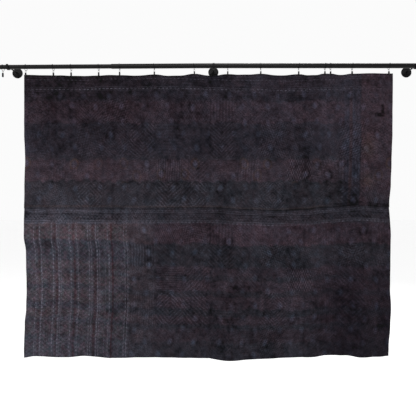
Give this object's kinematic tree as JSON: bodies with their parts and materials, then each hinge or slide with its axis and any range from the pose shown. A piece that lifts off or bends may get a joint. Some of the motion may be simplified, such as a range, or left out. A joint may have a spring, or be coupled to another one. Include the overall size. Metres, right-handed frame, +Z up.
{
  "type": "kantha quilt hung on a curtain rod",
  "caption": "Hand-quilted kantha cloth of lapped lengths, hung by clip rings from a telescoping curtain rod on wall brackets.",
  "frame": {"origin": "centre of the middle bracket's flange, on the wall", "axes": "+Z up, +X along the rod to the viewer's right, +Y into the wall"},
  "size_m": [2.3726, 0.1307, 1.5883],
  "materials": {
    "overdyed_cotton": "matt, hand-stitched, puckered",
    "black_steel": "satin black paint",
    "black_wire": "satin black plating"
  },
  "bodies": {
    "root": {"upper_panel": "overdyed_cotton", "lower_panel": "overdyed_cotton", "rod_thick_tube": "black_steel", "rod_thin_tube": "black_steel", "rod_end_cap_left": "black_steel", "rod_end_cap_right": "black_steel", "wall_flange_left": "black_steel", "wall_flange_middle": "black_steel", "wall_flange_right": "black_steel", "bracket_arm_left": "black_steel", "bracket_arm_middle": "black_steel", "bracket_arm_right": "black_steel", "ring_01": "black_wire", "ring_02": "black_wire", "ring_03": "black_wire", "ring_04": "black_wire", "ring_05": "black_wire", "ring_06": "black_wire", "ring_07": "black_wire", "ring_08": "black_wire", "ring_09": "black_wire", "ring_10": "black_wire", "ring_11": "black_wire", "ring_12": "black_wire", "ring_13": "black_wire", "ring_14": "black_wire", "ring_spare": "black_wire", "clip_01": "black_wire", "clip_02": "black_wire", "clip_03": "black_wire", "clip_04": "black_wire", "clip_05": "black_wire", "clip_06": "black_wire", "clip_07": "black_wire", "clip_08": "black_wire", "clip_09": "black_wire", "clip_10": "black_wire", "clip_11": "black_wire", "clip_12": "black_wire", "clip_13": "black_wire", "clip_14": "black_wire", "clip_spare": "black_wire"}
  },
  "joints": []
}
